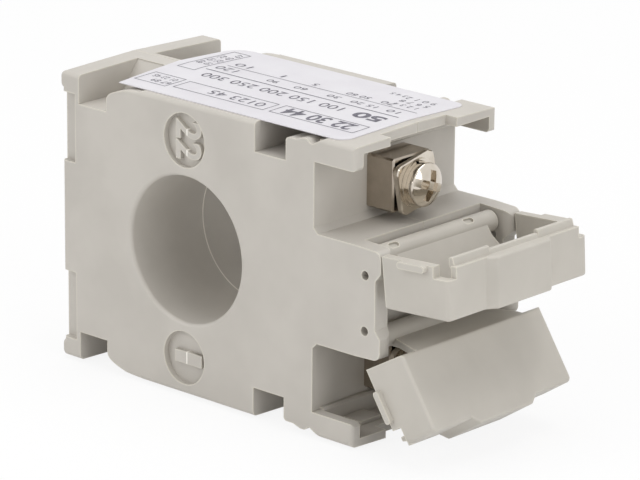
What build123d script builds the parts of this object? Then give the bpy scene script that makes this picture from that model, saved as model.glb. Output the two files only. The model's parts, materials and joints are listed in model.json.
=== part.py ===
from build123d import *
from math import cos, radians, sin, tan
import os

# Ring current transformer: two half shells round a wound core, two screw terminals, two hinged covers.
# X runs from the bore end to the terminal end, Y along the bore away from the viewer, Z up; millimetres.
bore_radius = 11.0
half_depth = 15.0
half_height = 22.4
left_end = -25.75
plate_end = 33.2
draft = 1.6
face_round = 0.7
parting_chamfer = 0.12
wall = 1.6
running_gap = 0.05
piece_gap = 0.1

head_reach = 0.45
head_low = half_height - 3.4
notch_floor = half_height - 4.8
notch_one = (-21.8, -16.1)
notch_two = (13.7, 19.65)
web_front = 2.8
web_rear = 0.8
ramp_run = 3.4
window_depth = 1.05
window_edge = -22.6
window_low = 8.5
window_high = half_height - 3.4
notch_round = 0.6
shoulder_x = 21.5
shoulder_z = half_height - 1.35
hump_x = (22.9, 23.7)
hump_z = half_height - 0.9
groove_x = 24.5
groove_z = half_height - 1.6
flank_x = (26.2, 27.9)
flank_z = half_height - 0.65
scallop_round = 0.6
mark_radius = 4.05
mark_height = 16.45
mark_depth = 0.95

back_wall = 25.1
shelf_z = 8.1
shelf_chamfer = 0.8
lip_z = half_height - 3.95
lip_inner = half_depth - 1.65
plate_under = half_height - 1.55
plate_cut_x = 31.0
plate_cut_front = 8.0
plate_cut_rear = 6.0
lip_round = 0.6
ledge_x = 26.0
ledge_z = lip_z - 0.35
pad_x = (25.9, 29.45)
pad_y = (5.2, 9.4)
pad_height = 0.6
bridge_end = 37.72
waist_end = 36.75
lobe_low = 4.75
waist_half = 3.6
recess_x = 32.35
ear_inner = half_depth - 2.7
ear_round = 1.3

tube_radius = bore_radius + 1.4
cavity_radius = half_height - 2.1
cavity_depth = half_depth - wall
cavity_left = -23.9
cavity_right = 23.6
cavity_high = notch_floor - 1.7
bridge_cavity_x = 30.8
bridge_cavity_z = shelf_z - 1.6

hinge_x = 34.4
hinge_z = 6.0
barrel_radius = 1.6
barrel_half = ear_inner - 0.2
trunnion_radius = 0.9
trunnion_end = ear_inner + 1.3
seal_x = 34.85
seal_z = 4.07
seal_radius = 0.67
open_tilt = 3.5
lower_swing = 53.0

cover_half = half_depth - 0.05
cover_inner = half_depth - 1.45
cover_floor = -6.2
cover_floor_in = cover_floor + 1.1
cover_rim = 1.3
cover_out = plate_under - hinge_z + 0.7
cover_out_in = cover_out - 1.0
cover_notch_u = cover_out - 2.7
cover_notch_v = -0.36
cover_notch_y = half_depth - 1.8
cover_corner = 0.8
cover_edge = 0.45
cover_lip_top = 2.4
cover_middle_lip_top = 1.9
cover_lip_in = cover_out - 1.6
cover_lip_out = cover_out - 0.95
cover_lip_y = (5.2, half_depth - 2.1)
grip_u = (6.9, 11.8)
grip_v = (0.3, 1.3)
grip_out = half_depth + 0.75
proud = 1.1
proud_half = 5.6
arm_angle = 57.0
arm_half = ear_inner - 0.9
arm_slant = 1.7
arm_across = (0.16, 1.4)
dimple_tilt = 31.0
dimple_y = (-9.4, 6.5)

block_x = (25.12, 30.1)
block_half_y = 4.0
block_half_z = (lip_z - shelf_z) / 2 - 1.225
terminal_z = (lip_z + shelf_z) / 2 + 0.275
tail_x = 21.2
tail_half_y = 2.0
tail_half_z = 1.1
screw_radius = 2.0
screw_tip = 25.95
clamp_x = (30.5, 31.3)
clamp_half = (4.0, block_half_z - 0.15)
clamp_turn = 12.0
washer_x = (31.33, 31.68)
washer_radius = 3.6
spring_x = (31.7, 32.35)
spring_radius = 3.1
head_x = (32.4, 33.9)
head_radius = 3.2
head_side = 0.5
head_round = 0.3
slot_width = 1.15
slot_depth = 0.9
cross_width = 1.25
cross_length = 4.5
cross_depth = 1.25
cross_centre = (0.9, 2.0)
recess_turn = -20.0
washer_gap = 0.3

core_radii = (tube_radius + 1.8, cavity_radius - 2.1)
winding_radii = (tube_radius + 0.2, cavity_radius - 0.3)
winding_half = cavity_depth - 1.1
core_half = winding_half - 2.3
cup_thick = 0.8
winding_edge = 1.1
tape_thick = 0.15
tape_half = winding_half - 1.5
lead_x = 22.0
lead_z = 2.5
lead_radius = 0.5
lead_start = winding_radii[1] - 0.6
outlet_half_y = 0.9
label_thick = 0.12
label_lift = 0.01

roof = tan(radians(draft))


def outline_block(x_low, x_high, z_low, z_high, corner):
    # A block drawn in by the mould's draft from the joint face to the outer face.
    with BuildPart() as block:
        with BuildSketch(Plane.XZ):
            with Locations(((x_low + x_high) / 2, (z_low + z_high) / 2)):
                Rectangle(x_high - x_low, z_high - z_low)
            fillet(vertices().group_by(Axis.X)[0], corner)
        extrude(amount=half_depth, taper=draft)
    return block.part


def half_shell(web, plate_cut_half):
    # One moulded half, its open side on Y=0 and its outer face at -Y.
    with BuildPart() as shell:
        add(outline_block(left_end, plate_end, -half_height, half_height, 1.5))
        add(outline_block(left_end - head_reach, notch_one[0] - 1, head_low, half_height, 1.2))
        add(outline_block(left_end - head_reach, notch_one[0] - 1, -half_height, -head_low, 1.2))
        fillet(edges().group_by(Axis.Y)[0], face_round)
        chamfer(edges().group_by(Axis.Y)[-1], parting_chamfer)
        # Notch pockets, the first with the middle part's swept corner.
        with BuildSketch(Plane.XZ.offset(web)):
            for side in (1, -1):
                with BuildLine():
                    Polyline(
                        (-9.0, side * (half_height - 0.55)), (-9.0, side * (half_height + 2)),
                        (notch_one[0], side * (half_height + 2)), (notch_one[0], side * notch_floor),
                        (notch_one[1], side * notch_floor), (notch_one[1], side * (half_height - 3.2)),
                    )
                    Spline(
                        (notch_one[1], side * (half_height - 3.2)), (-15.15, side * (half_height - 1.85)),
                        (-12.9, side * (half_height - 1.05)), (-9.0, side * (half_height - 0.55)),
                        tangents=((0.05, side), (1, side * 0.08)),
                    )
                make_face()
            for side in (1, -1):
                with BuildLine():
                    Polyline(
                        (notch_two[1] + notch_round, side * shoulder_z),
                        (notch_two[1] + notch_round, side * (half_height + 2)),
                        (notch_two[0], side * (half_height + 2)), (notch_two[0], side * notch_floor),
                        (notch_two[1], side * notch_floor), (notch_two[1], side * (shoulder_z - notch_round)),
                    )
                    RadiusArc(
                        (notch_two[1], side * (shoulder_z - notch_round)),
                        (notch_two[1] + notch_round, side * shoulder_z), side * notch_round,
                    )
                make_face()
        extrude(amount=half_depth + 2, mode=Mode.SUBTRACT)
        # Ramps that stiffen the web at the first notch.
        with BuildSketch(Plane.YZ.offset(notch_one[0] - 0.2)):
            for side in (1, -1):
                with BuildLine():
                    Polyline(
                        (-web + 0.2, side * (half_height - 0.3)), (-web, side * (half_height - 0.3)),
                        (-web - ramp_run, side * notch_floor), (-web - ramp_run, side * (notch_floor - 0.5)),
                        (-web + 0.2, side * (notch_floor - 0.5)), close=True,
                    )
                make_face()
        extrude(amount=notch_one[1] - notch_one[0] + 0.4)
        # Shoulder, hump and groove beside the second notch.
        with BuildSketch(Plane.XZ):
            for side in (1, -1):
                with BuildLine():
                    Polyline(
                        (notch_two[1] - 0.5, side * shoulder_z), (shoulder_x, side * shoulder_z),
                        (hump_x[0], side * hump_z), (hump_x[1], side * hump_z), (groove_x, side * groove_z),
                        (flank_x[0], side * flank_z), (flank_x[1], side * (half_height + 0.2)),
                        (notch_two[1] - 0.5, side * (half_height + 0.2)), close=True,
                    )
                make_face()
            fillet(vertices().filter_by(lambda v: shoulder_x - 0.1 < v.X < flank_x[0] + 0.1), scallop_round)
        extrude(amount=half_depth + 2, mode=Mode.SUBTRACT)
        # Face recesses at the bore end and the two round character seats.
        with BuildSketch(Plane.XZ.offset(half_depth - window_depth)):
            for side in (1, -1):
                with Locations((window_edge - 2.5, side * (window_low + window_high) / 2)):
                    Rectangle(5.0, window_high - window_low)
        extrude(amount=window_depth + 1, mode=Mode.SUBTRACT)
        with BuildSketch(Plane.XZ.offset(half_depth - mark_depth)):
            with Locations((-0.2, mark_height), (-0.2, -mark_height)):
                Circle(mark_radius)
        extrude(amount=mark_depth + 1, mode=Mode.SUBTRACT)
        # Terminal compartments, open to the end and to the sides below the lips.
        with BuildSketch(Plane.XZ):
            for side in (1, -1):
                lip_end = plate_end - half_depth * roof
                with BuildLine():
                    Polyline(
                        (lip_end - lip_round, side * lip_z), (back_wall, side * lip_z),
                        (back_wall, side * (shelf_z + shelf_chamfer)), (back_wall + shelf_chamfer, side * shelf_z),
                        (bridge_end + 5, side * shelf_z), (bridge_end + 5, side * (lip_z + lip_round)),
                        (lip_end, side * (lip_z + lip_round)),
                    )
                    RadiusArc(
                        (lip_end - lip_round, side * lip_z), (lip_end, side * (lip_z + lip_round)), side * -lip_round
                    )
                make_face()
        extrude(amount=half_depth + 2, mode=Mode.SUBTRACT)
        with BuildSketch(Plane.XZ):
            under_z = (lip_z + plate_under) / 2
            with Locations((back_wall + 10, under_z), (back_wall + 10, -under_z)):
                Rectangle(20, plate_under - lip_z)
        extrude(amount=lip_inner, mode=Mode.SUBTRACT)
        with BuildSketch(Plane.XZ):
            with Locations((plate_cut_x + 5, 0)):
                Rectangle(10, 3 * half_height)
        extrude(amount=plate_cut_half, mode=Mode.SUBTRACT)
        # Ledge at the foot of each compartment's back wall and the stiffening pads on its outer plate.
        with BuildSketch(Plane.XZ):
            for side in (1, -1):
                with BuildLine():
                    Polyline(
                        (back_wall - 0.5, side * ledge_z), (ledge_x - 0.3, side * ledge_z),
                        (ledge_x, side * (ledge_z + 0.3)), (ledge_x, side * (plate_under + 0.5)),
                        (back_wall - 0.5, side * (plate_under + 0.5)), close=True,
                    )
                make_face()
        extrude(amount=lip_inner)
        with BuildSketch(Plane.XZ.offset(pad_y[0])):
            for side in (1, -1):
                with Locations(((pad_x[0] + pad_x[1]) / 2, side * (plate_under - pad_height / 2 + 0.1))):
                    Rectangle(pad_x[1] - pad_x[0], pad_height + 0.2)
        extrude(amount=pad_y[1] - pad_y[0])
        # Bridge and hinge ears between the compartments.
        with BuildSketch(Plane.XZ):
            with BuildLine():
                Polyline(
                    (back_wall - 1, shelf_z), (recess_x + 0.65, shelf_z), (bridge_end, shelf_z - 0.2),
                    (bridge_end, lobe_low), (waist_end, waist_half), (waist_end, -waist_half), (bridge_end, -lobe_low),
                    (bridge_end, -shelf_z + 0.2), (recess_x + 0.65, -shelf_z), (back_wall - 1, -shelf_z), close=True,
                )
            make_face()
            fillet(vertices().group_by(Axis.X)[-1].sort_by(Axis.Y)[0:1], 1.2)
            fillet(vertices().group_by(Axis.X)[-1].sort_by(Axis.Y)[-1:], 1.2)
            fillet(vertices().group_by(Axis.X)[-1].sort_by(Axis.Y)[1:3], 0.5)
        extrude(amount=half_depth)
        with BuildSketch(Plane.XZ):
            with Locations((recess_x + 5, 0)):
                Rectangle(10, 3 * shelf_z)
        extrude(amount=ear_inner, mode=Mode.SUBTRACT)
        with BuildSketch(Plane.XY.offset(-shelf_z - 1)):
            with BuildLine():
                Polyline(
                    (bridge_end, -ear_inner - ear_round), (bridge_end + 1, -ear_inner - ear_round),
                    (bridge_end + 1, -ear_inner + 1), (bridge_end - ear_round, -ear_inner + 1),
                    (bridge_end - ear_round, -ear_inner),
                )
                RadiusArc((bridge_end - ear_round, -ear_inner), (bridge_end, -ear_inner - ear_round), ear_round)
            make_face()
        extrude(amount=2 * shelf_z + 2, mode=Mode.SUBTRACT)
        # Trunnion sockets, blind from the inside, and the through holes for a sealing wire.
        with BuildSketch(Plane.XZ.offset(ear_inner - 0.5)):
            with Locations((hinge_x, hinge_z), (hinge_x, -hinge_z)):
                Circle(trunnion_radius + running_gap)
        extrude(amount=trunnion_end - ear_inner + 0.6, mode=Mode.SUBTRACT)
        with BuildSketch(Plane.XZ.offset(ear_inner - 0.5)):
            with Locations((seal_x, seal_z), (seal_x, -seal_z)):
                Circle(seal_radius)
        extrude(amount=half_depth - ear_inner + 1, mode=Mode.SUBTRACT)
        # Hollow for the core and leads, with the tube round the bore left standing.
        with BuildSketch(Plane.XZ):
            Circle(cavity_radius)
            with Locations(((cavity_left + cavity_right) / 2, 0)):
                Rectangle(cavity_right - cavity_left, 2 * cavity_high)
            with Locations(((cavity_right + bridge_cavity_x) / 2 - 0.5, 0)):
                Rectangle(bridge_cavity_x - cavity_right + 1, 2 * bridge_cavity_z)
            Circle(tube_radius, mode=Mode.SUBTRACT)
        extrude(amount=cavity_depth, mode=Mode.SUBTRACT)
        with BuildSketch(Plane.XZ):
            Circle(bore_radius)
        extrude(amount=half_depth + 1, mode=Mode.SUBTRACT)
        rim = edges().filter_by(GeomType.CIRCLE).filter_by(lambda e: abs(e.radius - bore_radius) < 0.01)
        fillet(rim.sort_by(Axis.Y)[0:1], 0.6)
        rim = edges().filter_by(GeomType.CIRCLE).filter_by(lambda e: abs(e.radius - bore_radius) < 0.01)
        chamfer(rim.sort_by(Axis.Y)[-1:], parting_chamfer)
        # Slots for the terminal tails through the compartment walls.
        with BuildSketch(Plane.YZ.offset(cavity_right - 1)):
            with Locations((0, terminal_z), (0, -terminal_z)):
                Rectangle(2 * (tail_half_y + running_gap), 2 * (tail_half_z + running_gap))
        extrude(amount=back_wall - cavity_right + 2, mode=Mode.SUBTRACT)
        seam = edges().filter_by(Axis.Z).group_by(Axis.Y)[-1]
        chamfer(seam.filter_by(lambda e: min(abs(e.center().X - x) for x in (plate_cut_x, recess_x)) < 0.01),
                parting_chamfer)
    return shell.part


def lip_strip(y_low, y_high, top):
    # A raised strip inside the outer wall, which tucks under the housing's plate when the cover is shut.
    with BuildPart() as strip:
        with BuildSketch(Plane.XZ.offset(-y_high)):
            with BuildLine():
                Polyline(
                    (cover_lip_in, top), (cover_lip_out, top), (cover_out_in + 0.35, cover_rim),
                    (cover_out_in + 0.35, cover_rim - 0.5), (cover_out_in, cover_rim - 0.8),
                    (cover_lip_in, cover_rim - 0.2), close=True,
                )
            make_face()
            fillet(vertices().group_by(Axis.Y)[-1], 0.2)
        extrude(amount=y_high - y_low)
    return strip.part


def terminal_cover():
    # A cover in its own frame: hinge line on the origin along Y, floor below, outer wall at +X.
    with BuildPart() as tray:
        with BuildSketch(Plane.XZ.offset(-cover_half)):
            with BuildLine():
                Polyline(
                    (4.0, cover_floor), (cover_out, cover_floor), (cover_out, cover_notch_v),
                    (cover_notch_u, cover_notch_v), (cover_notch_u, cover_rim), (3.53, cover_rim), close=True,
                )
            make_face()
        extrude(amount=2 * cover_half)
        fillet(edges().filter_by(Axis.Z).group_by(Axis.X)[-1], cover_corner)
        fillet(faces().sort_by(Axis.Z)[0].edges(), cover_edge)
        # The outer wall stands to the rim between the corner notches.
        with BuildSketch(Plane.XY.offset(cover_notch_v - 1)):
            with Locations(((cover_notch_u - 1 + cover_out) / 2, 0)):
                Rectangle(cover_out - cover_notch_u + 1, 2 * cover_notch_y)
        extrude(amount=cover_rim - cover_notch_v + 1)
        # The tray's hollow, its hinge side cut away for the arm.
        with BuildSketch(Plane.XZ.offset(-cover_inner)):
            with BuildLine():
                Polyline(
                    (0, cover_floor_in), (cover_out_in, cover_floor_in), (cover_out_in, cover_rim + 3),
                    (0, cover_rim + 3), close=True,
                )
            make_face()
        extrude(amount=2 * cover_inner, mode=Mode.SUBTRACT)
        # Proud middle of the outer wall with slanted flanks.
        with BuildSketch(Plane.XY.offset(cover_floor)):
            with BuildLine():
                Polyline(
                    (cover_out - 0.8, -proud_half - 1.4), (cover_out, -proud_half - 1.4),
                    (cover_out + proud, -proud_half), (cover_out + proud, proud_half), (cover_out, proud_half + 1.4),
                    (cover_out - 0.8, proud_half + 1.4), close=True,
                )
            make_face()
            fillet(vertices().group_by(Axis.X)[-1], 0.5)
        extrude(amount=cover_rim - cover_floor)
        fillet(edges().filter_by(Axis.Y).group_by(Axis.X)[-1], 0.35)
        # Raised inner lips, lower in the middle.
        add(lip_strip(cover_lip_y[0], cover_lip_y[1], cover_lip_top))
        add(lip_strip(-cover_lip_y[1], -cover_lip_y[0], cover_lip_top))
        add(lip_strip(-cover_lip_y[0], cover_lip_y[0], cover_middle_lip_top))
        # Arm from the floor's edge to the barrel, its ends cut at a slant.
        along = (cos(radians(arm_angle)), -sin(radians(arm_angle)))
        across = (sin(radians(arm_angle)), cos(radians(arm_angle)))
        reach_out = (cover_floor + 0.2 - arm_across[0] * across[1]) / along[1]
        reach_in = (cover_floor_in - arm_across[1] * across[1]) / along[1]
        heel = (arm_across[0] * across[0], arm_across[0] * across[1])
        toe = (arm_across[1] * across[0], arm_across[1] * across[1])
        with BuildSketch(Plane.XZ.offset(-arm_half)):
            with BuildLine():
                Polyline(
                    heel, (heel[0] + reach_out * along[0], cover_floor + 0.2), (4.9, cover_floor + 0.2),
                    (4.9, cover_floor_in), (toe[0] + reach_in * along[0], cover_floor_in), toe, close=True,
                )
            make_face()
        extrude(amount=2 * arm_half)
        with BuildSketch(Plane.YZ):
            for side in (1, -1):
                with BuildLine():
                    Polyline(
                        (side * (arm_half - arm_slant), 1.5), (side * (arm_half - arm_slant), -1.2),
                        (side * arm_half, cover_floor_in + 0.05), (side * (arm_half + 0.5), cover_floor_in + 0.05),
                        (side * (arm_half + 0.5), 1.5), close=True,
                    )
                make_face()
        extrude(amount=6, mode=Mode.SUBTRACT)
        with BuildSketch(Plane.XZ.offset(-barrel_half)):
            Circle(barrel_radius)
        extrude(amount=2 * barrel_half)
        with BuildSketch(Plane.XZ.offset(-trunnion_end)):
            Circle(trunnion_radius)
        extrude(amount=2 * trunnion_end)
        # Finger grips on the two sides.
        with BuildSketch(Plane.XZ.offset(-grip_out)):
            with Locations(((grip_u[0] + grip_u[1]) / 2, (grip_v[0] + grip_v[1]) / 2)):
                RectangleRounded(grip_u[1] - grip_u[0], grip_v[1] - grip_v[0], 0.45)
        extrude(amount=2 * grip_out)
        with BuildSketch(Plane.XZ.offset(-cover_inner)):
            with Locations(((grip_u[0] + grip_u[1]) / 2, grip_v[0] + 0.5)):
                Rectangle(grip_u[1] - grip_u[0] + 1, 3)
        extrude(amount=2 * cover_inner, mode=Mode.SUBTRACT)
        # Two dimples on the barrel.
        with BuildSketch(Plane.XY.rotated((0, dimple_tilt, 0)).offset(barrel_radius - 0.4)):
            with Locations((0, dimple_y[0]), (0, dimple_y[1])):
                SlotOverall(1.9, 0.9, rotation=90)
        extrude(amount=1, mode=Mode.SUBTRACT)
    return tray.part


upper_place = Location(
    Plane(
        origin=(hinge_x, 0, hinge_z),
        x_dir=(cos(radians(open_tilt)), 0, sin(radians(open_tilt))),
        z_dir=(-sin(radians(open_tilt)), 0, cos(radians(open_tilt))),
    )
)
lower_angle = open_tilt + lower_swing
lower_place = Location(
    Plane(
        origin=(hinge_x, 0, -hinge_z),
        x_dir=(cos(radians(-lower_angle)), 0, sin(radians(-lower_angle))),
        z_dir=(sin(radians(-lower_angle)), 0, -cos(radians(-lower_angle))),
    )
)
half_turn = Location((0, 0, 0), (180, 0, 0))

os.makedirs("parts", exist_ok=True)

with BuildPart() as front_shell:
    add(half_shell(web_front, plate_cut_front))
front_shell.part.label = "front_shell"
export_step(front_shell.part, "parts/front_shell.step")

with BuildPart() as rear_shell:
    add(half_shell(web_rear, plate_cut_rear).moved(half_turn))
rear_shell.part.label = "rear_shell"
export_step(rear_shell.part, "parts/rear_shell.step")

with BuildPart() as upper_cover:
    add(terminal_cover().moved(upper_place))
upper_cover.part.label = "upper_cover"
export_step(upper_cover.part, "parts/upper_cover.step")

with BuildPart() as lower_cover:
    add(terminal_cover().moved(lower_place))
lower_cover.part.label = "lower_cover"
export_step(lower_cover.part, "parts/lower_cover.step")

# Rating label: one thin sheet folded over the slight ridge where the half shells meet.
label_base = half_height + label_lift
label_drop = half_depth * roof
with BuildPart() as rating_label:
    with BuildSketch(Plane.YZ.offset(-17)):
        with BuildLine():
            Polyline(
                (-half_depth, label_base - label_drop), (0, label_base), (half_depth, label_base - label_drop),
                (half_depth, label_base + label_thick - label_drop), (0, label_base + label_thick),
                (-half_depth, label_base + label_thick - label_drop), close=True,
            )
        make_face()
    extrude(amount=50)
    with BuildSketch(Plane.XY.offset(half_height - 3)):
        with BuildLine():
            Polyline(
                (-14.5, -half_depth + 1.1), (-15.3, -7.0), (-15.9, 0), (-15.5, half_depth - 2.7),
                (29.6, half_depth - 2.7), (29.6, -half_depth + 1.1), close=True,
            )
        make_face()
        fillet(vertices().group_by(Axis.X)[-1], 2.0)
        fillet(vertices().group_by(Axis.Y)[-1].sort_by(Axis.X)[0:1], 3.5)
    extrude(amount=6, mode=Mode.INTERSECT)
rating_label.part.label = "rating_label"
export_step(rating_label.part, "parts/rating_label.step")

# Strip-wound core in its two insulating cups.
with BuildPart() as wound_core:
    with BuildSketch(Plane.XZ.offset(-core_half)):
        Circle(core_radii[1])
        Circle(core_radii[0], mode=Mode.SUBTRACT)
    extrude(amount=2 * core_half)
wound_core.part.label = "wound_core"
export_step(wound_core.part, "parts/wound_core.step")


def core_cup():
    with BuildPart() as cup:
        with BuildSketch(Plane.XZ.offset(0.1)):
            Circle(core_radii[1] + piece_gap + cup_thick)
            Circle(core_radii[0] - piece_gap - cup_thick, mode=Mode.SUBTRACT)
        extrude(amount=core_half + piece_gap + cup_thick - 0.1)
        with BuildSketch(Plane.XZ):
            Circle(core_radii[1] + piece_gap)
            Circle(core_radii[0] - piece_gap, mode=Mode.SUBTRACT)
        extrude(amount=core_half + piece_gap, mode=Mode.SUBTRACT)
    return cup.part


with BuildPart() as front_core_cup:
    add(core_cup())
front_core_cup.part.label = "front_core_cup"
export_step(front_core_cup.part, "parts/front_core_cup.step")

with BuildPart() as rear_core_cup:
    add(core_cup().moved(half_turn))
rear_core_cup.part.label = "rear_core_cup"
export_step(rear_core_cup.part, "parts/rear_core_cup.step")

# Secondary winding, one ring of turns closed round the cups, with a gap where its leads come out.
core_middle = (core_radii[0] + core_radii[1]) / 2
with BuildPart() as secondary_winding:
    with BuildSketch(Plane.XY):
        with Locations(((winding_radii[0] + winding_radii[1]) / 2, 0)):
            Rectangle(winding_radii[1] - winding_radii[0], 2 * winding_half)
        chamfer(vertices(), winding_edge)
        with Locations((core_middle, 0)):
            Rectangle(
                core_radii[1] - core_radii[0] + 4 * piece_gap + 2 * cup_thick,
                2 * (core_half + 2 * piece_gap + cup_thick), mode=Mode.SUBTRACT,
            )
    revolve(axis=Axis.Y)
    with BuildSketch(Plane.YZ.offset(lead_start - 0.8)):
        Rectangle(2 * outlet_half_y, 2 * (lead_z + outlet_half_y))
    extrude(amount=3, mode=Mode.SUBTRACT)
secondary_winding.part.label = "secondary_winding"
export_step(secondary_winding.part, "parts/secondary_winding.step")

with BuildPart() as winding_tape:
    with BuildSketch(Plane.XZ.offset(-tape_half)):
        Circle(winding_radii[1] + 0.02 + tape_thick)
        Circle(winding_radii[1] + 0.02, mode=Mode.SUBTRACT)
    extrude(amount=2 * tape_half)
    with BuildSketch(Plane.YZ.offset(lead_start - 0.8)):
        Rectangle(2 * outlet_half_y, 2 * (lead_z + outlet_half_y))
    extrude(amount=3, mode=Mode.SUBTRACT)
winding_tape.part.label = "winding_tape"
export_step(winding_tape.part, "parts/winding_tape.step")


def terminal_block():
    # Square nut block with its solder tail behind it, centred on Z=0.
    with BuildPart() as block:
        with BuildSketch(Plane.YZ.offset(block_x[0])):
            Rectangle(2 * block_half_y, 2 * block_half_z)
        extrude(amount=block_x[1] - block_x[0])
        chamfer(edges().filter_by(Axis.X), 0.3)
        chamfer(edges().group_by(Axis.X)[-1], 0.25)
        with BuildSketch(Plane.YZ.offset(tail_x)):
            Rectangle(2 * tail_half_y, 2 * tail_half_z)
        extrude(amount=block_x[0] - tail_x + 0.5)
        with BuildSketch(Plane.YZ.offset(block_x[0] + 0.1)):
            Circle(screw_radius + running_gap)
        extrude(amount=6, mode=Mode.SUBTRACT)
        with BuildSketch(Plane.XY.offset(-3)):
            with Locations((lead_x, 0)):
                Circle(lead_radius + 0.1)
        extrude(amount=6, mode=Mode.SUBTRACT)
    return block.part


def clamp_plate():
    with BuildPart() as plate:
        with BuildSketch(Plane.YZ.offset(clamp_x[0])):
            RectangleRounded(2 * clamp_half[0], 2 * clamp_half[1], 1.2)
            Circle(screw_radius + washer_gap, mode=Mode.SUBTRACT)
        extrude(amount=clamp_x[1] - clamp_x[0])
        chamfer(edges().filter_by(GeomType.LINE).group_by(Axis.X)[-1], 0.15)
    return plate.part.rotate(Axis.X, clamp_turn)


def flat_washer():
    with BuildPart() as washer:
        with BuildSketch(Plane.YZ.offset(washer_x[0])):
            Circle(washer_radius)
            Circle(screw_radius + washer_gap, mode=Mode.SUBTRACT)
        extrude(amount=washer_x[1] - washer_x[0])
    return washer.part


def spring_washer():
    # Split ring, its cut slanted as sheared.
    with BuildPart() as washer:
        with BuildSketch(Plane.YZ.offset(spring_x[0])):
            Circle(spring_radius)
            Circle(screw_radius + washer_gap, mode=Mode.SUBTRACT)
        extrude(amount=spring_x[1] - spring_x[0])
        with BuildSketch(Plane.XY.offset(1.5)):
            with BuildLine():
                Polyline(
                    (spring_x[0] - 0.1, -1.0), (spring_x[1] + 0.1, -0.2), (spring_x[1] + 0.1, 0.4),
                    (spring_x[0] - 0.1, -0.4), close=True,
                )
            make_face()
        extrude(amount=3, mode=Mode.SUBTRACT)
    return washer.part


def terminal_screw():
    # Pan head with a slot and a cross, on a shank the thread's outer size.
    with BuildPart() as screw:
        with BuildSketch(Plane.XY):
            dome = head_x[1] - head_x[0] - head_side
            dome_radius = (head_radius ** 2 + dome ** 2) / (2 * dome)
            with BuildLine():
                Polyline(
                    (head_x[1], 0), (screw_tip, 0), (screw_tip, screw_radius - 0.5), (screw_tip + 0.5, screw_radius),
                    (head_x[0], screw_radius), (head_x[0], head_radius - 0.1), (head_x[0] + 0.1, head_radius),
                    (head_x[0] + head_side, head_radius),
                )
                RadiusArc((head_x[0] + head_side, head_radius), (head_x[1], 0), dome_radius)
            make_face()
            fillet(vertices().group_by(Axis.Y)[-1].sort_by(Axis.X)[-1:], head_round)
        revolve(axis=Axis.X)
        with BuildSketch(Plane.YZ.offset(head_x[1] - slot_depth)):
            Rectangle(2 * head_radius + 1, slot_width, rotation=recess_turn)
        extrude(amount=2, mode=Mode.SUBTRACT)
        with BuildSketch(Plane.YZ.offset(head_x[1] - cross_depth)):
            Rectangle(cross_width, cross_length, rotation=recess_turn)
            Rectangle(cross_length, cross_width, rotation=recess_turn)
        extrude(amount=2, mode=Mode.SUBTRACT)
        with BuildSketch(Plane.YZ.offset(head_x[1] - cross_centre[1])):
            Circle(cross_centre[0])
        extrude(amount=2, mode=Mode.SUBTRACT)
    return screw.part


upper_terminal = Location((0, 0, terminal_z))
lower_terminal = Location((0, 0, -terminal_z), (180, 0, 0))

with BuildPart() as upper_terminal_block:
    add(terminal_block().moved(upper_terminal))
upper_terminal_block.part.label = "upper_terminal_block"
export_step(upper_terminal_block.part, "parts/upper_terminal_block.step")

with BuildPart() as lower_terminal_block:
    add(terminal_block().moved(lower_terminal))
lower_terminal_block.part.label = "lower_terminal_block"
export_step(lower_terminal_block.part, "parts/lower_terminal_block.step")

with BuildPart() as upper_clamp_plate:
    add(clamp_plate().moved(upper_terminal))
upper_clamp_plate.part.label = "upper_clamp_plate"
export_step(upper_clamp_plate.part, "parts/upper_clamp_plate.step")

with BuildPart() as lower_clamp_plate:
    add(clamp_plate().moved(lower_terminal))
lower_clamp_plate.part.label = "lower_clamp_plate"
export_step(lower_clamp_plate.part, "parts/lower_clamp_plate.step")

with BuildPart() as upper_flat_washer:
    add(flat_washer().moved(upper_terminal))
upper_flat_washer.part.label = "upper_flat_washer"
export_step(upper_flat_washer.part, "parts/upper_flat_washer.step")

with BuildPart() as lower_flat_washer:
    add(flat_washer().moved(lower_terminal))
lower_flat_washer.part.label = "lower_flat_washer"
export_step(lower_flat_washer.part, "parts/lower_flat_washer.step")

with BuildPart() as upper_spring_washer:
    add(spring_washer().moved(upper_terminal))
upper_spring_washer.part.label = "upper_spring_washer"
export_step(upper_spring_washer.part, "parts/upper_spring_washer.step")

with BuildPart() as lower_spring_washer:
    add(spring_washer().moved(lower_terminal))
lower_spring_washer.part.label = "lower_spring_washer"
export_step(lower_spring_washer.part, "parts/lower_spring_washer.step")

with BuildPart() as upper_terminal_screw:
    add(terminal_screw().moved(upper_terminal))
upper_terminal_screw.part.label = "upper_terminal_screw"
export_step(upper_terminal_screw.part, "parts/upper_terminal_screw.step")

with BuildPart() as lower_terminal_screw:
    add(terminal_screw().moved(lower_terminal))
lower_terminal_screw.part.label = "lower_terminal_screw"
export_step(lower_terminal_screw.part, "parts/lower_terminal_screw.step")


def lead():
    # A lead from the winding's gap, along the compartment wall and through the tail's eye.
    with BuildPart() as wire:
        with BuildLine(Plane.XZ) as run:
            FilletPolyline((lead_start, lead_z), (lead_x, lead_z), (lead_x, terminal_z + 1.6), radius=0.9)
        with BuildSketch(Plane.YZ.offset(lead_start)):
            with Locations((0, lead_z)):
                Circle(lead_radius)
        sweep(path=run.wires()[0])
    return wire.part


def lead_sleeve():
    with BuildPart() as sleeve:
        with BuildSketch(Plane.XY.offset(lead_z + 2)):
            with Locations((lead_x, 0)):
                Circle(lead_radius + 0.4)
                Circle(lead_radius + 0.05, mode=Mode.SUBTRACT)
        extrude(amount=terminal_z - tail_half_z - 0.7 - lead_z - 2)
    return sleeve.part


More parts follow.
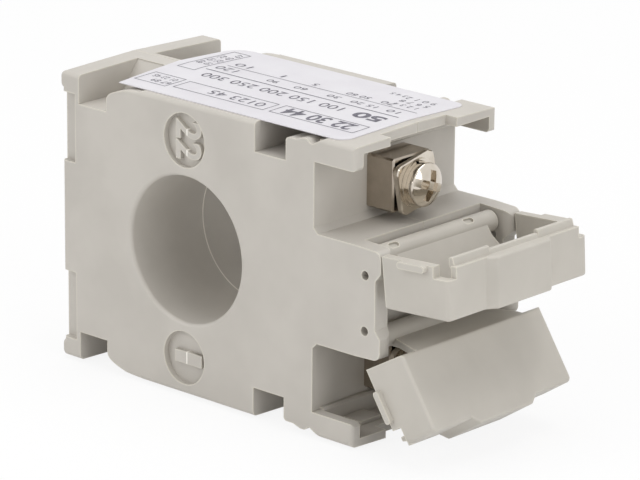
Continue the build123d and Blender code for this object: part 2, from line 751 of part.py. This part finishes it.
def solder_joint():
    with BuildPart() as solder:
        with BuildSketch(Plane.XY.offset(terminal_z + tail_half_z + 0.02)):
            with Locations((lead_x, 0)):
                Circle(1.0)
        extrude(amount=0.4, taper=30)
        with BuildSketch(Plane.XY.offset(terminal_z)):
            with Locations((lead_x, 0)):
                Circle(lead_radius + 0.02)
        extrude(amount=3, mode=Mode.SUBTRACT)
    return solder.part


with BuildPart() as upper_lead:
    add(lead())
upper_lead.part.label = "upper_lead"
export_step(upper_lead.part, "parts/upper_lead.step")

with BuildPart() as lower_lead:
    add(lead().moved(half_turn))
lower_lead.part.label = "lower_lead"
export_step(lower_lead.part, "parts/lower_lead.step")

with BuildPart() as upper_lead_sleeve:
    add(lead_sleeve())
upper_lead_sleeve.part.label = "upper_lead_sleeve"
export_step(upper_lead_sleeve.part, "parts/upper_lead_sleeve.step")

with BuildPart() as lower_lead_sleeve:
    add(lead_sleeve().moved(half_turn))
lower_lead_sleeve.part.label = "lower_lead_sleeve"
export_step(lower_lead_sleeve.part, "parts/lower_lead_sleeve.step")

with BuildPart() as upper_solder_joint:
    add(solder_joint())
upper_solder_joint.part.label = "upper_solder_joint"
export_step(upper_solder_joint.part, "parts/upper_solder_joint.step")

with BuildPart() as lower_solder_joint:
    add(solder_joint().moved(half_turn))
lower_solder_joint.part.label = "lower_solder_joint"
export_step(lower_solder_joint.part, "parts/lower_solder_joint.step")
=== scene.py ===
import json
import math

import bpy
from mathutils import Matrix, Vector


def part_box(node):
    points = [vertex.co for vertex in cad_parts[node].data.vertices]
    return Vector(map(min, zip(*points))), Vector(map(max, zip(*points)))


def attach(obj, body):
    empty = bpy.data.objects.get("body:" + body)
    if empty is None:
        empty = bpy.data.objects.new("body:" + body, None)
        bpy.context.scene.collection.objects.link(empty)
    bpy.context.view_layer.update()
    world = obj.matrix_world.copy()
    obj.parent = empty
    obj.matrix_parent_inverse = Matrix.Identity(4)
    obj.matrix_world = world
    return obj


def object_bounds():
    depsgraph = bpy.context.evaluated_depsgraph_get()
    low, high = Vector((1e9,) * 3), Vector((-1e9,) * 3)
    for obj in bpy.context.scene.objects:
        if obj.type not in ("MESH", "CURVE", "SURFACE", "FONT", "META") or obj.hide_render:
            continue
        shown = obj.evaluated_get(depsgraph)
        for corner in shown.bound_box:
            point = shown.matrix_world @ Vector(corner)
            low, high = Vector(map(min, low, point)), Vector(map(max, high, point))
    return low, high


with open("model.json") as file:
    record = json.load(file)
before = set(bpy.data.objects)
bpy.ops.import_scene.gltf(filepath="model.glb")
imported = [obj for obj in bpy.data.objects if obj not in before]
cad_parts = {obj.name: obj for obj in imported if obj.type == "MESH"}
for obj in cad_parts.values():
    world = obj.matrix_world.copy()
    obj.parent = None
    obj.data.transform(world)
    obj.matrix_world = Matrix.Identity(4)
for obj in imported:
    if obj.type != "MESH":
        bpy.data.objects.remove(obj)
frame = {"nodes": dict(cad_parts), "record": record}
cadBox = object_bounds()
nodes = frame["nodes"]
mm = 0.001  # looks below are in millimetres, Blender works in metres
mixShare, mixA, mixB, mixOut = 0, 6, 7, 2  # colour sockets of Mix, whose number sockets have the same names
print("frame loaded:", len(nodes), "solids")


def linear(hexColour):
    # sRGB hex to the linear values that the shader wants
    values = [int(hexColour[i:i + 2], 16) / 255 for i in (0, 2, 4)]
    return [v / 12.92 if v <= 0.04045 else ((v + 0.055) / 1.055) ** 2.4 for v in values] + [1.0]


def addNode(tree, kind, settings=None, links=None, stops=()):
    # settings are attributes or sockets by name, links go from another node's output to a socket,
    # and stops are the places and hex colours of a ramp's two ends
    node = tree.nodes.new(kind)
    for name, value in (settings or {}).items():
        if isinstance(name, int) or name in node.inputs:
            node.inputs[name].default_value = value
        else:
            setattr(node, name, value)
    for name, source in (links or {}).items():
        tree.links.new(source, node.inputs[name])
    for index, (place, colour) in enumerate(stops):
        node.color_ramp.elements[index].position = place
        node.color_ramp.elements[index].color = linear(colour)
    return node


def newMaterial(name, baseHex, roughness, metallic=0.0, ior=None):
    material = bpy.data.materials.new(name)
    material.use_nodes = True
    tree = material.node_tree
    shader = tree.nodes["Principled BSDF"]
    shader.inputs["Base Color"].default_value = linear(baseHex)
    shader.inputs["Roughness"].default_value = roughness
    shader.inputs["Metallic"].default_value = metallic
    if ior:
        shader.inputs["IOR"].default_value = ior
    return material, tree, shader


def cloudedColour(tree, shader, place, look):
    # two close tones that drift into each other over a real width
    cloud = addNode(
        tree, "ShaderNodeTexNoise",
        {"Scale": 1 / (look["cloudMm"] * mm), "Detail": look["cloudDetail"]}, {"Vector": place},
    )
    low, high = look["spread"]
    ramp = addNode(
        tree, "ShaderNodeValToRGB", links={"Fac": cloud.outputs["Fac"]},
        stops=[(low, look["deep"]), (high, look["pale"])],
    )
    tree.links.new(ramp.outputs["Color"], shader.inputs["Base Color"])
    return cloud.outputs["Fac"], ramp.outputs["Color"]


def cloudedSheen(tree, shader, cloud, shiny, dull):
    # the same clouds take the surface from shinier to duller
    sheen = addNode(tree, "ShaderNodeMapRange", {"To Min": shiny, "To Max": dull}, {"Value": cloud})
    tree.links.new(sheen.outputs["Result"], shader.inputs["Roughness"])


def grainBump(tree, shader, place, look):
    # moulded, cast or polished grain, worked from its real width and height
    noise = addNode(tree, "ShaderNodeTexNoise", {"Scale": 1 / (look["grainMm"] * mm)}, {"Vector": place})
    bump = addNode(
        tree, "ShaderNodeBump", {"Strength": look["grainStrength"], "Distance": look["grainHighMm"] * mm},
        {"Height": noise.outputs["Fac"]},
    )
    tree.links.new(bump.outputs["Normal"], shader.inputs["Normal"])


def boreRadius(tree, place):
    # distance from the bore's axis, which lies along Y
    flat = addNode(tree, "ShaderNodeVectorMath", {"operation": "MULTIPLY", 1: (1, 0, 1)}, {0: place})
    radius = addNode(tree, "ShaderNodeVectorMath", {"operation": "LENGTH"}, {0: flat.outputs["Vector"]})
    return radius.outputs["Value"]


def roundsSideBySide(tree, source, factor):
    # an even run of rounds, 0 in each groove and 1 on each crown
    phase = addNode(tree, "ShaderNodeMath", {"operation": "MULTIPLY", 1: factor}, {0: source})
    wave = addNode(tree, "ShaderNodeMath", {"operation": "COSINE"}, {0: phase.outputs[0]})
    height = addNode(tree, "ShaderNodeMapRange", {"From Min": -1.0}, {"Value": wave.outputs[0]})
    return height.outputs["Result"]


# Glass-filled polyamide 6, injection moulded in a fine spark-eroded tool: an even pale grey with a dry sheen
housingLook = {
    "pale": "C6C1B9", "deep": "BFBAB2", "spread": (0.35, 0.65), "cloudMm": 9.0, "cloudDetail": 3.0,
    "roughness": 0.52, "shinierBy": 0.05, "dullerBy": 0.06, "ior": 1.53,
    # the eroded grain is really under 0.1 mm wide, too fine to show, so it is drawn coarser
    "grainMm": 0.22, "grainHighMm": 0.012, "grainStrength": 0.5,
    # outer edges, a painted highlight: colour, its share, how far in it reaches, how open the inside is there
    # and on the flat
    "edge": "DAD5C8", "edgeShare": 0.85, "edgeMm": 0.24, "openAtEdge": 0.6, "openOnFlat": 0.95,
    "edgeSamples": 6,
    # joint line in the bore, a painted highlight: colour, half its width, how much of that is full, the
    # radius it stays within
    "jointHighlight": "F6F2EA", "seamMm": 0.14, "seamFull": 0.7, "boreMm": 11.4,
}
# a cover is one moulding, a shade deeper and with no joint
coverLook = dict(housingLook, pale="C5C0B7", deep="BEB9B0", seamMm=0)


def paintedEdgeHighlights(tree, colour, look):
    # outer corners have a fine moulded radius; a painted highlight, a pale warm thread along each edge,
    # stands in for the light it catches
    inside = addNode(
        tree, "ShaderNodeAmbientOcclusion",
        {"samples": look["edgeSamples"], "inside": True, "only_local": True, "Distance": look["edgeMm"] * mm},
    )
    fromTo = {"From Min": look["openAtEdge"], "From Max": look["openOnFlat"], "To Min": look["edgeShare"],
              "To Max": 0.0}
    corner = addNode(tree, "ShaderNodeMapRange", fromTo, {"Value": inside.outputs["AO"]})
    tone = addNode(
        tree, "ShaderNodeMix", {"data_type": "RGBA", mixB: linear(look["edge"])},
        {mixShare: corner.outputs["Result"], mixA: colour},
    )
    return tone.outputs[mixOut]


def boreJointHighlight(tree, place, colour, look):
    # inside the bore a painted highlight, one fine pale line, stands in for the light caught by the moulded
    # edges at the joint
    split = addNode(tree, "ShaderNodeSeparateXYZ", links={"Vector": place})
    away = addNode(tree, "ShaderNodeMath", {"operation": "ABSOLUTE"}, {0: split.outputs["Y"]})
    halfLine = look["seamMm"] * mm
    line = addNode(
        tree, "ShaderNodeMapRange",
        {"From Min": halfLine * look["seamFull"], "From Max": halfLine, "To Min": 1.0, "To Max": 0.0},
        {"Value": away.outputs[0]},
    )
    inBore = addNode(
        tree, "ShaderNodeMath", {"operation": "LESS_THAN", 1: look["boreMm"] * mm},
        {0: boreRadius(tree, place)},
    )
    share = addNode(
        tree, "ShaderNodeMath", {"operation": "MULTIPLY"}, {0: line.outputs["Result"], 1: inBore.outputs[0]}
    )
    joint = addNode(
        tree, "ShaderNodeMix", {"data_type": "RGBA", mixB: linear(look["jointHighlight"])},
        {mixShare: share.outputs[0], mixA: colour},
    )
    return joint.outputs[mixOut]


def mouldedPolyamide(name, look):
    rough = look["roughness"]
    material, tree, shader = newMaterial(name, look["pale"], rough, ior=look["ior"])
    place = addNode(tree, "ShaderNodeTexCoord").outputs["Object"]
    cloud, colour = cloudedColour(tree, shader, place, look)
    # painted highlight along the outer edges
    colour = paintedEdgeHighlights(tree, colour, look)
    # in the bore, a painted highlight along the joint line
    if look["seamMm"]:
        colour = boreJointHighlight(tree, place, colour, look)
    tree.links.new(colour, shader.inputs["Base Color"])
    cloudedSheen(tree, shader, cloud, rough - look["shinierBy"], rough + look["dullerBy"])
    grainBump(tree, shader, place, look)
    return material


# Nickel plate over turned and stamped steel: a warm grey mirror, slightly hazed by the plating barrel
nickelLook = {
    "pale": "D9D1C5", "deep": "CBC2B5", "spread": (0.3, 0.7), "cloudMm": 2.4, "cloudDetail": 4.0,
    "roughness": 0.09, "shinierTimes": 0.8, "dullerTimes": 1.25,
    "grainMm": 0.5, "grainHighMm": 0.002, "grainStrength": 0.2,
}
# stamped plates and washers, a little duller than the turned screws
stampedLook = dict(nickelLook, roughness=0.13)
# nut blocks, deeper in tone and the dullest
blockLook = dict(nickelLook, pale="BAB0A3", deep="AEA497", roughness=0.17)


def nickelPlate(name, look):
    rough = look["roughness"]
    material, tree, shader = newMaterial(name, look["pale"], rough, metallic=1.0)
    place = addNode(tree, "ShaderNodeTexCoord").outputs["Object"]
    cloud, colour = cloudedColour(tree, shader, place, look)
    cloudedSheen(tree, shader, cloud, rough * look["shinierTimes"], rough * look["dullerTimes"])
    grainBump(tree, shader, place, look)
    return material


# Self-adhesive polyester label, cast and coated white: cool white against the warm plastic, with a satin face
labelFilmLook = {
    "pale": "DBD9DD", "deep": "D5D2D7", "spread": (0.3, 0.7), "cloudMm": 6.0, "cloudDetail": 2.0,
    "roughness": 0.38, "ior": 1.58, "grainMm": 0.4, "grainHighMm": 0.004, "grainStrength": 0.3,
}


def coatedLabelFilm(look):
    material, tree, shader = newMaterial("coatedLabelFilm", look["pale"], look["roughness"], ior=look["ior"])
    place = addNode(tree, "ShaderNodeTexCoord").outputs["Object"]
    cloudedColour(tree, shader, place, look)
    grainBump(tree, shader, place, look)
    return material


# Thermal-transfer print: dark grey resin ink, dry beside the film's satin
inkLook = {"pale": "7C7A84", "deep": "4E4C56", "spread": (0.35, 0.7), "cloudMm": 0.5, "cloudDetail": 2.0,
           "roughness": 0.6}


def resinInk(look):
    material, tree, shader = newMaterial("resinInk", look["pale"], look["roughness"])
    place = addNode(tree, "ShaderNodeTexCoord").outputs["Object"]
    cloudedColour(tree, shader, place, look)
    return material


# Enamelled copper wire, wound in turns side by side: amber-red rounds, with painted shade in the fine grooves
# between them
windingLook = {"wireMm": 0.45, "ringMm": 16, "wire": "8E4A26", "groove": "3A1A0C", "spread": (0.05, 0.4),
               "roughness": 0.3, "metallic": 0.75, "grooveMm": 0.1, "grooveStrength": 0.7}


def enamelledCopper(look):
    material, tree, shader = newMaterial(
        "enamelledCopper", look["wire"], look["roughness"], metallic=look["metallic"]
    )
    place = addNode(tree, "ShaderNodeTexCoord").outputs["Object"]
    split = addNode(tree, "ShaderNodeSeparateXYZ", links={"Vector": place})
    angle = addNode(
        tree, "ShaderNodeMath", {"operation": "ARCTAN2"}, {0: split.outputs["Z"], 1: split.outputs["X"]}
    )
    turns = round(2 * math.pi * look["ringMm"] / look["wireMm"])  # side by side at the ring's middle radius
    height = roundsSideBySide(tree, angle.outputs[0], float(turns))
    low, high = look["spread"]
    # painted shade: the colour darkens from the wire's tone to a dark brown in each groove
    ramp = addNode(
        tree, "ShaderNodeValToRGB", links={"Fac": height}, stops=[(low, look["groove"]), (high, look["wire"])]
    )
    tree.links.new(ramp.outputs["Color"], shader.inputs["Base Color"])
    bump = addNode(
        tree, "ShaderNodeBump", {"Strength": look["grooveStrength"], "Distance": look["grooveMm"] * mm},
        {"Height": height},
    )
    tree.links.new(bump.outputs["Normal"], shader.inputs["Normal"])
    return material


# Grain-oriented silicon steel strip, rolled and wound on edge: fine rings on the sides, blue-grey oxide
coreLook = {"stripMm": 0.3, "steel": "6F747C", "gap": "2E3036", "spread": (0.08, 0.35), "roughness": 0.35,
            "metallic": 0.9}


def woundStripSteel(look):
    material, tree, shader = newMaterial(
        "woundStripSteel", look["steel"], look["roughness"], metallic=look["metallic"]
    )
    place = addNode(tree, "ShaderNodeTexCoord").outputs["Object"]
    layers = 2 * math.pi / (look["stripMm"] * mm)
    height = roundsSideBySide(tree, boreRadius(tree, place), layers)
    low, high = look["spread"]
    ramp = addNode(
        tree, "ShaderNodeValToRGB", links={"Fac": height}, stops=[(low, look["gap"]), (high, look["steel"])]
    )
    tree.links.new(ramp.outputs["Color"], shader.inputs["Base Color"])
    return material


# Plain finishes on the pieces inside: each has the grain or weave of its own making
plainLook = {"spread": (0.3, 0.7), "cloudMm": 4.0, "cloudDetail": 3.0, "metallic": 0.0, "grainHighMm": 0.01,
             "grainStrength": 0.5}
# black nylon, soft sheen
cupLook = dict(plainLook, pale="2B2A29", deep="1E1D1D", roughness=0.5, grainMm=0.3)
# amber polyester film, glossy
tapeLook = dict(plainLook, pale="C99A2C", deep="B58520", roughness=0.25, grainMm=0.5)
# tin over copper, with the copper warm where the tin is thin
leadLook = dict(plainLook, pale="B9B2A8", deep="8F6A4C", roughness=0.3, grainMm=0.2, metallic=1.0)
# braided glass, dry
sleeveLook = dict(plainLook, pale="D8D2BE", deep="C3BCA6", roughness=0.75, grainMm=0.25)
# solder, cast bright and grained
solderLook = dict(plainLook, pale="B4B4B2", deep="8E8E8E", roughness=0.28, grainMm=0.3, metallic=1.0)


def plainFinish(name, look):
    material, tree, shader = newMaterial(name, look["pale"], look["roughness"], metallic=look["metallic"])
    place = addNode(tree, "ShaderNodeTexCoord").outputs["Object"]
    cloudedColour(tree, shader, place, look)
    grainBump(tree, shader, place, look)
    return material


housing = mouldedPolyamide("mouldedPolyamide", housingLook)
nickelStamped = nickelPlate("nickelPlateStamped", stampedLook)
ink = resinInk(inkLook)
finishes = {
    "housing_plastic": housing,
    "cover_plastic": mouldedPolyamide("mouldedPolyamideCover", coverLook),
    "label_film": coatedLabelFilm(labelFilmLook),
    "core_steel": woundStripSteel(coreLook),
    "cup_plastic": plainFinish("mouldedCupNylon", cupLook),
    "winding_copper": enamelledCopper(windingLook),
    "tape_film": plainFinish("polyesterTape", tapeLook),
    "nickel_block": nickelPlate("nickelPlateBlock", blockLook),
    "nickel_plate": nickelStamped,
    "nickel_washer": nickelStamped,
    "nickel_screw": nickelPlate("nickelPlate", nickelLook),
    "lead_copper": plainFinish("tinnedCopper", leadLook),
    "sleeve_plastic": plainFinish("glassSleeve", sleeveLook),
    "solder": plainFinish("softSolder", solderLook),
}
for entry in frame["record"]["subparts"]:
    for materialSlot in nodes[entry["node"]].material_slots:
        materialSlot.material = finishes[entry["material_slot"]]
print("finishes set on the solids")

# The printed label lies on a slight ridge: both halves of the housing fall away from the joint between them
labelPrint = {
    "slopeDeg": 1.6, "rise": 0.02, "line": 0.16, "heavyLine": 0.22,
    # boxes are left, right, front and back, rules are left, right, place and whether heavy
    "boxes": [(-14.2, -8.0, -11.0, -6.6), (-6.9, 10.8, -10.4, -6.9), (12.0, 27.9, -10.3, -6.7),
              (-14.1, -10.7, -2.2, 9.9)],
    "rules": [(-9.8, 27.9, -0.6, True), (-9.0, 28.1, 3.1, False)],
    # text, right-hand end, front edge of the letters, letter height, length, stroke gain: all plain numbers
    "numbers": [
        ("22 30 44", 26.4, -9.8, 2.6, 13.0, 0.09), ("0123 45", 9.6, -9.6, 1.8, 10.6, 0.0),
        ("01 23 45", -8.6, -8.5, 1.15, 4.6, 0.0), ("67 89", -8.2, -10.3, 1.15, 3.6, 0.0),
        ("100 150 200 250 300", 19.9, -3.8, 1.8, 27.4, 0.0), ("50", 27.3, -4.3, 2.3, 5.4, 0.12),
        ("10", 26.9, 0.6, 1.3, 2.2, 0.0), ("15 20", 22.6, 0.6, 1.2, 4.8, 0.0),
        ("30", 15.2, 0.6, 1.2, 2.3, 0.0), ("60", 8.7, 0.6, 1.2, 2.3, 0.0), ("90", 3.1, 0.6, 1.2, 2.1, 0.0),
        ("120", -4.9, 0.5, 1.7, 3.9, 0.0), ("50 60", 18.2, 3.7, 1.2, 4.4, 0.0),
        ("70", 22.9, 3.7, 1.2, 2.4, 0.0), ("5", 8.0, 3.8, 1.2, 0.9, 0.0), ("1", 2.0, 3.8, 1.4, 0.4, 0.0),
        ("10", -4.9, 3.9, 1.5, 3.0, 0.0), ("1 2 3 4", 26.8, 4.4, 1.1, 4.4, 0.0),
        ("5 6 7 8", 27.1, 6.3, 1.1, 5.4, 0.0), ("9 0 1 2", 26.8, 8.2, 1.2, 5.6, 0.0),
        ("3 4 5", 20.9, 8.6, 1.0, 2.9, 0.0),
    ],
    # in the narrow box these read across the label: text, baseline, start, letter height, length
    "columnNumbers": [("01 23 45 67", -11.2, 1.0, 1.0, 8.2), ("89 01 23", -12.7, 1.0, 1.0, 6.0)],
}
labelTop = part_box("rating_label")[1][2] / mm
slope = math.tan(math.radians(labelPrint["slopeDeg"]))


def labelHeight(y):
    return labelTop - abs(y) * slope + labelPrint["rise"]


def labelStroke(vertices, faces, x0, x1, y0, y1):
    # a printed stroke, split where it crosses the ridge
    cuts = [y0, 0.0, y1] if y0 < 0 < y1 else [y0, y1]
    for low, high in zip(cuts, cuts[1:]):
        start = len(vertices)
        for x, y in ((x0, low), (x1, low), (x1, high), (x0, high)):
            vertices.append((x * mm, y * mm, labelHeight(y) * mm))
        faces.append([start, start + 1, start + 2, start + 3])


def printedRules(look):
    vertices, faces = [], []
    half = look["line"] / 2
    for x0, x1, y0, y1 in look["boxes"]:
        labelStroke(vertices, faces, x0 - half, x1 + half, y0 - half, y0 + half)
        labelStroke(vertices, faces, x0 - half, x1 + half, y1 - half, y1 + half)
        labelStroke(vertices, faces, x0 - half, x0 + half, y0 + half, y1 - half)
        labelStroke(vertices, faces, x1 - half, x1 + half, y0 + half, y1 - half)
    for x0, x1, y, heavy in look["rules"]:
        width = (look["heavyLine"] if heavy else look["line"]) / 2
        labelStroke(vertices, faces, x0, x1, y - width, y + width)
    mesh = bpy.data.meshes.new("printed_rules")
    mesh.from_pydata(vertices, [], faces)
    mesh.materials.append(ink)
    piece = bpy.data.objects.new("printed_rules", mesh)
    bpy.context.collection.objects.link(piece)
    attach(piece, "housing")


# All numbers are in Blender's own plain typeface, in which a figure is about 0.7 of the size asked for
typeface = {"figureShare": 0.7, "curveSteps": 4}


def textPiece(name, words, height, length, place, turn, material, gain=0.0):
    # height is that of one figure, length that of all the words, and place where they start
    curve = bpy.data.curves.new(name, "FONT")
    curve.body = words
    curve.size = height * mm / typeface["figureShare"]
    curve.offset = gain * mm
    curve.resolution_u = typeface["curveSteps"]
    curve.materials.append(material)
    piece = bpy.data.objects.new(name, curve)
    bpy.context.collection.objects.link(piece)
    bpy.context.view_layer.update()
    fit = Matrix.Diagonal((length * mm / piece.dimensions.x, 1, 1, 1))
    piece.matrix_world = Matrix.Translation(Vector(place) * mm) @ turn @ fit
    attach(piece, "housing")
    return piece


def printedNumbers(look):
    tilt = math.radians(look["slopeDeg"])
    for index, (words, x, y, height, length, gain) in enumerate(look["numbers"]):
        # read from the far side, so its letters stand towards the front edge
        lean = -tilt if y < 0 else tilt
        turn = Matrix.Rotation(math.pi, 4, "Z") @ Matrix.Rotation(lean, 4, "X")
        base = y + height
        textPiece(
            f"printed_number_{index}", words, height, length, (x, base, labelHeight(base)), turn, ink,
            gain=gain,
        )
    across = Matrix.Rotation(-tilt, 4, "X") @ Matrix.Rotation(math.pi / 2, 4, "Z")
    for index, (words, x, y, height, length) in enumerate(look["columnNumbers"]):
        textPiece(
            f"column_number_{index}", words, height, length, (x, y, labelHeight(y)), across, ink
        )


# Characters moulded in the two round seats on each face, turned a quarter so that they read downwards
raisedLook = {
    "faceY": 15.0, "seatZ": 16.45, "middleX": 0.15, "depth": 0.6, "halfThick": 0.33, "bevel": 0.05,
    "gain": 0.1,
    # seat, above or below the bore, characters, height, length
    "words": [("upper", 1, "22", 4.9, 5.9), ("lower", -1, "1", 5.2, 1.7)],
}


def raisedNumbers(look):
    for side, faceName in ((-1, "front"), (1, "rear")):
        upright = Matrix.Rotation(math.pi / 2, 4, "X")
        if side > 0:
            upright = Matrix.Rotation(math.pi, 4, "Z") @ upright
        turn = upright @ Matrix.Rotation(-math.pi / 2, 4, "Z")
        for place, zSign, words, height, length in look["words"]:
            piece = textPiece(
                f"raised_number_{faceName}_{place}", words, height, length, (0, 0, 0), turn, housing,
                gain=look["gain"],
            )
            piece.data.extrude = look["halfThick"] * mm
            piece.data.bevel_depth = look["bevel"] * mm
            piece.data.align_x = "CENTER"
            piece.data.align_y = "CENTER"
            centre = (-side * look["middleX"], side * (look["faceY"] - look["depth"]), zSign * look["seatZ"])
            piece.matrix_world.translation = Vector(centre) * mm


printedRules(labelPrint)
printedNumbers(labelPrint)
raisedNumbers(raisedLook)
print("label print and raised numbers made")

# Studio, in metres: pale floor, white surround, and soft lamps from the left front, above and the right
studio = {
    "eye": (0.3881, -0.4113, 0.1759), "azimuthDeg": 42.392, "elevationDeg": 17.437, "rollDeg": 0.624,
    "lensMm": 226.8, "sensorMm": 36.0, "clipStart": 0.01,
    "floorHex": "F4F4F4", "floorRoughness": 0.9, "floorWhite": 0.88, "floorSize": 4.0, "floorGap": 0.0001,
    "surround": 0.39, "white": (1, 1, 1, 1),
    # name, place, width, power
    "lamps": [("keyLamp", (-0.35, -0.75, 0.55), 0.7, 3.25), ("topLamp", (0.05, 0.1, 0.9), 0.8, 4.7),
              ("sideLamp", (0.9, -0.1, 0.35), 0.6, 2.6)],
}


def makeCamera(look):
    azimuth, elevation, roll = (math.radians(look[k]) for k in ("azimuthDeg", "elevationDeg", "rollDeg"))
    back = Vector((math.sin(azimuth) * math.cos(elevation), -math.cos(azimuth) * math.cos(elevation),
                   math.sin(elevation)))
    right = Vector((math.cos(azimuth), math.sin(azimuth), 0))
    up = back.cross(right)
    turnedRight = math.cos(roll) * right + math.sin(roll) * up
    turnedUp = -math.sin(roll) * right + math.cos(roll) * up
    data = bpy.data.cameras.new("camera")
    data.lens = look["lensMm"]
    data.sensor_width = look["sensorMm"]
    data.sensor_fit = "HORIZONTAL"
    data.clip_start = look["clipStart"]
    camera = bpy.data.objects.new("camera", data)
    rotation = Matrix((turnedRight, turnedUp, back)).transposed().to_4x4()
    camera.matrix_world = Matrix.Translation(look["eye"]) @ rotation
    bpy.context.collection.objects.link(camera)
    bpy.context.scene.camera = camera


def seenDirectly(tree):
    # 1 for the camera and for what shows in shiny or clear pieces
    path = addNode(tree, "ShaderNodeLightPath")
    shiny = addNode(
        tree, "ShaderNodeMath", {"operation": "MAXIMUM"},
        {0: path.outputs["Is Glossy Ray"], 1: path.outputs["Is Transmission Ray"]},
    )
    seen = addNode(
        tree, "ShaderNodeMath", {"operation": "MAXIMUM"},
        {0: path.outputs["Is Camera Ray"], 1: shiny.outputs[0]},
    )
    return seen.outputs[0]


def makeFloor(look):
    # mostly white to the camera and to shiny pieces, a plain pale surface to the light
    floorHeight = cadBox[0][2] - look["floorGap"]
    bpy.ops.mesh.primitive_plane_add(size=look["floorSize"], location=(0, 0, floorHeight))
    floor = bpy.context.object
    floor.name = "floor"
    material, tree, shader = newMaterial("paleFloor", look["floorHex"], look["floorRoughness"])
    white = addNode(tree, "ShaderNodeEmission", {"Color": look["white"], "Strength": 1.0})
    share = addNode(
        tree, "ShaderNodeMath", {"operation": "MULTIPLY", 1: look["floorWhite"]}, {0: seenDirectly(tree)}
    )
    mix = addNode(
        tree, "ShaderNodeMixShader", links={0: share.outputs[0], 1: shader.outputs[0], 2: white.outputs[0]}
    )
    tree.links.new(mix.outputs[0], tree.nodes["Material Output"].inputs["Surface"])
    floor.data.materials.append(material)


def makeSurround(look):
    # white to the camera and to shiny pieces, a weaker even light for the object
    world = bpy.data.worlds.new("surround")
    bpy.context.scene.world = world
    world.use_nodes = True
    tree = world.node_tree
    tree.nodes.clear()
    dim = addNode(tree, "ShaderNodeBackground", {"Color": look["white"], "Strength": look["surround"]})
    white = addNode(tree, "ShaderNodeBackground", {"Color": look["white"], "Strength": 1.0})
    mix = addNode(
        tree, "ShaderNodeMixShader", links={0: seenDirectly(tree), 1: dim.outputs[0], 2: white.outputs[0]}
    )
    addNode(tree, "ShaderNodeOutputWorld", links={"Surface": mix.outputs[0]})


def makeLamps(look):
    # each is a soft square that looks at the bore's middle
    for name, place, size, power in look["lamps"]:
        data = bpy.data.lights.new(name, "AREA")
        data.shape = "SQUARE"
        data.size = size
        data.energy = power
        lamp = bpy.data.objects.new(name, data)
        lamp.location = place
        lamp.rotation_euler = (-Vector(place)).to_track_quat("-Z", "Y").to_euler()
        bpy.context.collection.objects.link(lamp)


makeCamera(studio)
makeFloor(studio)
makeSurround(studio)
makeLamps(studio)
bpy.context.scene.view_settings.view_transform = "Standard"
print("studio set")
